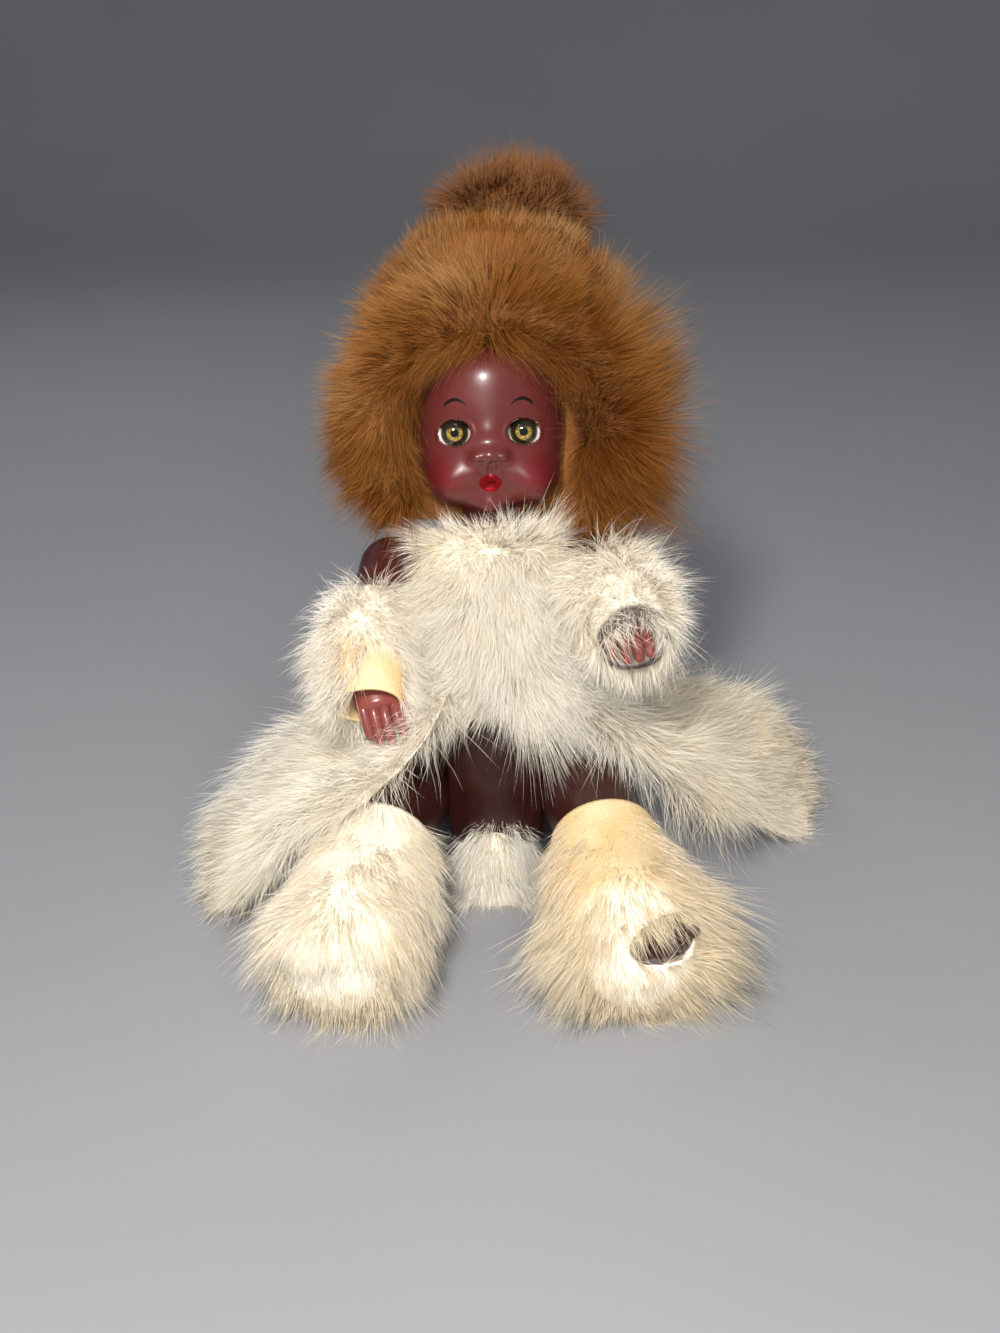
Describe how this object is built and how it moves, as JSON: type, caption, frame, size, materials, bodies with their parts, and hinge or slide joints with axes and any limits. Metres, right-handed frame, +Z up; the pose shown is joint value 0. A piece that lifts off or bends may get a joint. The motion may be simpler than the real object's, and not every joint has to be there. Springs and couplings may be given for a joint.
{
  "type": "doll",
  "caption": "Seated toddler doll with a glossy plastic head and limbs, rocking amber eyes, ginger fur hood with pompom, cream fur coat and boots; head and limbs turn on elastic stringing.",
  "frame": {"origin": "on the floor, centre of the flat seat under the torso, where the coat's back panel lies under the hips", "axes": "+Z up, the doll faces -Y, its own left side is +X"},
  "size_m": [0.24, 0.2464, 0.2444],
  "materials": {
    "body_plastic": "glossy dark red-brown moulded plastic",
    "limb_plastic": "glossy red-brown moulded plastic",
    "eye_amber": "clear gloss over speckled amber",
    "steel": "plain wire and strip",
    "lead": "dull cast weight",
    "beech": "bare turned wood",
    "elastic": "woven elastic cord",
    "cream_fur": "long soft fur on cream hide",
    "ginger_fur": "long soft ginger fur",
    "pompom_fur": "fluffy brown fur"
  },
  "bodies": {
    "torso": {"torso_front": "body_plastic", "torso_back": "body_plastic", "shoulder_elastic": "elastic", "hip_elastic": "elastic", "neck_hook": "steel", "neck_toggle": "beech", "coat_front": "cream_fur", "coat_back": "cream_fur", "coat_tail": "cream_fur", "coat_left_flap": "cream_fur", "coat_right_flap": "cream_fur"},
    "head": {"head_front": "body_plastic", "head_back": "body_plastic", "eye_bearing": "steel", "hood_ruff": "ginger_fur", "hood_crown": "ginger_fur", "hood_pompom": "pompom_fur"},
    "eyes": {"left_eye": "eye_amber", "right_eye": "eye_amber", "eye_rocker": "steel", "eye_weight": "lead"},
    "left_arm": {"left_arm_outer": "limb_plastic", "left_arm_inner": "limb_plastic", "left_arm_toggle": "beech", "left_sleeve": "cream_fur"},
    "right_arm": {"right_arm_outer": "limb_plastic", "right_arm_inner": "limb_plastic", "right_arm_toggle": "beech", "right_sleeve": "cream_fur"},
    "left_leg": {"left_leg_outer": "limb_plastic", "left_leg_inner": "limb_plastic", "left_leg_toggle": "beech", "left_boot": "cream_fur"},
    "right_leg": {"right_leg_outer": "limb_plastic", "right_leg_inner": "limb_plastic", "right_leg_toggle": "beech", "right_boot": "cream_fur"}
  },
  "joints": [
    {"name": "neck_turn", "type": "hinge", "parent": "torso", "child": "head", "pos_m": [0, 0.02756, 0.12813], "axis": [0, 0.2756, 0.9613], "range_deg": [-60, 60]},
    {"name": "right_shoulder", "type": "hinge", "parent": "torso", "child": "right_arm", "pos_m": [-0.027, 0.02177, 0.10794], "axis": [1, 0, 0], "range_deg": [-40, 4]},
    {"name": "left_shoulder", "type": "hinge", "parent": "torso", "child": "left_arm", "pos_m": [0.027, 0.02177, 0.10794], "axis": [1, 0, 0], "range_deg": [-14, 28]},
    {"name": "right_hip", "type": "hinge", "parent": "torso", "child": "right_leg", "pos_m": [-0.017, 0, 0.032], "axis": [1, 0, 0], "range_deg": [-5, 85]},
    {"name": "left_hip", "type": "hinge", "parent": "torso", "child": "left_leg", "pos_m": [0.017, 0, 0.032], "axis": [1, 0, 0], "range_deg": [-5, 85]},
    {"name": "eye_rock", "type": "hinge", "parent": "head", "child": "eyes", "pos_m": [0.00097, 0.01769, 0.16113], "axis": [0.9986, 0.0503, -0.0144], "range_deg": [0, 70]}
  ]
}
